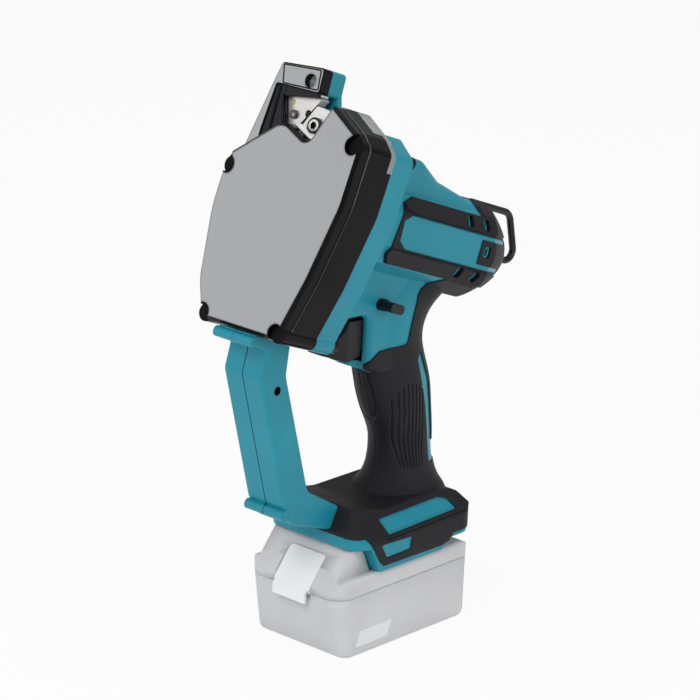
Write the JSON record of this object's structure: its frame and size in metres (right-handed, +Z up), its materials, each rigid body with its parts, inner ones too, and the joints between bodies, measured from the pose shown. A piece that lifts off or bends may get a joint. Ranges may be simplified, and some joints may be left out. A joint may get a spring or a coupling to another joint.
{
  "type": "cordless threaded rod cutter",
  "caption": "Cordless threaded rod cutter with a leaning shield-shaped cutting head, motor barrel, pistol grip, front strut and slide-on battery base.",
  "frame": {"origin": "centre of the battery's flat underside, which the tool stands on", "axes": "+X forward, towards the cutting head; +Y to the tool's left; +Z up"},
  "size_m": [0.2532, 0.0985, 0.3544],
  "materials": {
    "teal_shell": "moulded satin",
    "teal_casting": "coated satin",
    "gloss_black": "polished",
    "clear_lens": "clear moulded",
    "black_rubber": "fine matt",
    "black_plastic": "moulded matt",
    "black_screw": "black oxide",
    "nickel_plate": "nickel plated",
    "machined_steel": "machined",
    "gearbox_casing": "die cast",
    "motor_iron": "laminated",
    "board": "lacquered",
    "battery_grey": "moulded satin",
    "button_white": "moulded",
    "cell_can": "wrapped can",
    "contact_brass": "bare"
  },
  "bodies": {
    "tool": {"left_housing": "teal_shell", "right_housing": "teal_shell", "left_strut": "teal_shell", "right_strut": "teal_shell", "gear_case": "teal_casting", "front_cover": "gloss_black", "work_light_lens": "clear_lens", "left_barrel_skin": "black_rubber", "right_barrel_skin": "black_rubber", "left_grip_skin": "black_rubber", "right_grip_skin": "black_rubber", "left_vent": "black_rubber", "right_vent": "black_rubber", "switch_body": "black_plastic", "guide_ring": "black_plastic", "terminal_block": "black_plastic", "cover_screws": "black_screw", "case_screws": "black_screw", "housing_screws": "black_screw", "strut_screw": "black_screw", "hang_ring": "black_screw", "fixed_die": "nickel_plate", "guide_block": "nickel_plate", "guide_bolt": "nickel_plate", "arm_pivot_pin": "machined_steel", "arm_return_spring": "machined_steel", "cam_bearings": "machined_steel", "idler_stub": "machined_steel", "rotor_bearings": "machined_steel", "trigger_spring": "machined_steel", "reduction_gearbox": "gearbox_casing", "stator": "motor_iron", "work_light_board": "board", "controller_board": "board"},
    "cutter": {"cutter_arm": "nickel_plate", "moving_die": "nickel_plate", "die_screw": "nickel_plate", "roller_pin": "machined_steel"},
    "roller": {"cam_roller": "machined_steel"},
    "cam": {"cam_gear": "machined_steel", "cam_shaft": "machined_steel"},
    "idler": {"idler_gear": "machined_steel"},
    "output": {"output_pinion": "machined_steel"},
    "rotor": {"rotor": "machined_steel", "cooling_fan": "black_plastic"},
    "trigger": {"trigger": "black_plastic"},
    "reverse_lever": {"reverse_lever": "black_plastic"},
    "battery": {"battery_tray": "battery_grey", "battery_lid": "battery_grey", "battery_cells": "cell_can", "battery_contacts": "contact_brass", "battery_screws": "black_screw"},
    "release_button": {"release_button": "button_white"}
  },
  "joints": [
    {"name": "rotor_spin", "type": "hinge", "parent": "tool", "child": "rotor", "pos_m": [-0.03413, 0, 0.24028], "axis": [0.9379, 0, 0.3469], "range_deg": [0, 7560]},
    {"name": "output_spin", "type": "hinge", "parent": "tool", "child": "output", "pos_m": [0.05122, 0, 0.27185], "axis": [0.9379, 0, 0.3469], "range_deg": [0, 1890]},
    {"name": "idler_spin", "type": "hinge", "parent": "tool", "child": "idler", "pos_m": [0.05688, 0.02375, 0.26809], "axis": [0.9379, 0, 0.3469], "range_deg": [-840, 0]},
    {"name": "cam_turn", "type": "hinge", "parent": "tool", "child": "cam", "pos_m": [0.07319, 0.001, 0.2384], "axis": [0.9379, 0, 0.3469], "range_deg": [0, 240]},
    {"name": "cutter_swing", "type": "hinge", "parent": "tool", "child": "cutter", "pos_m": [0.0694, -0.017, 0.28178], "axis": [0.9379, 0, 0.3469], "range_deg": [0, 8]},
    {"name": "roller_spin", "type": "hinge", "parent": "cutter", "child": "roller", "pos_m": [0.07113, 0.014, 0.25896], "axis": [0.9379, 0, 0.3469], "continuous": true},
    {"name": "trigger_pull", "type": "slide", "parent": "tool", "child": "trigger", "axis": [-1, 0, 0], "range_m": [0, 0.006], "stiffness_N_per_m": 600, "springref_m": -0.004},
    {"name": "reverse_lever_slide", "type": "slide", "parent": "tool", "child": "reverse_lever", "axis": [0, 1, 0], "range_m": [-0.0035, 0.0035]},
    {"name": "battery_slide", "type": "slide", "parent": "tool", "child": "battery", "axis": [1, 0, 0], "range_m": [0, 0.09]},
    {"name": "release_button_press", "type": "slide", "parent": "battery", "child": "release_button", "axis": [0.6264, 0, -0.7795], "range_m": [0, 0.003], "stiffness_N_per_m": 800, "springref_m": -0.003}
  ],
  "couplings": [
    {"joint": "output_spin", "follows": "rotor_spin", "ratio": 0.25},
    {"joint": "idler_spin", "follows": "rotor_spin", "ratio": -0.11111},
    {"joint": "cam_turn", "follows": "rotor_spin", "ratio": 0.031746},
    {"joint": "cutter_swing", "follows": "rotor_spin", "ratio": 0.0010582}
  ]
}
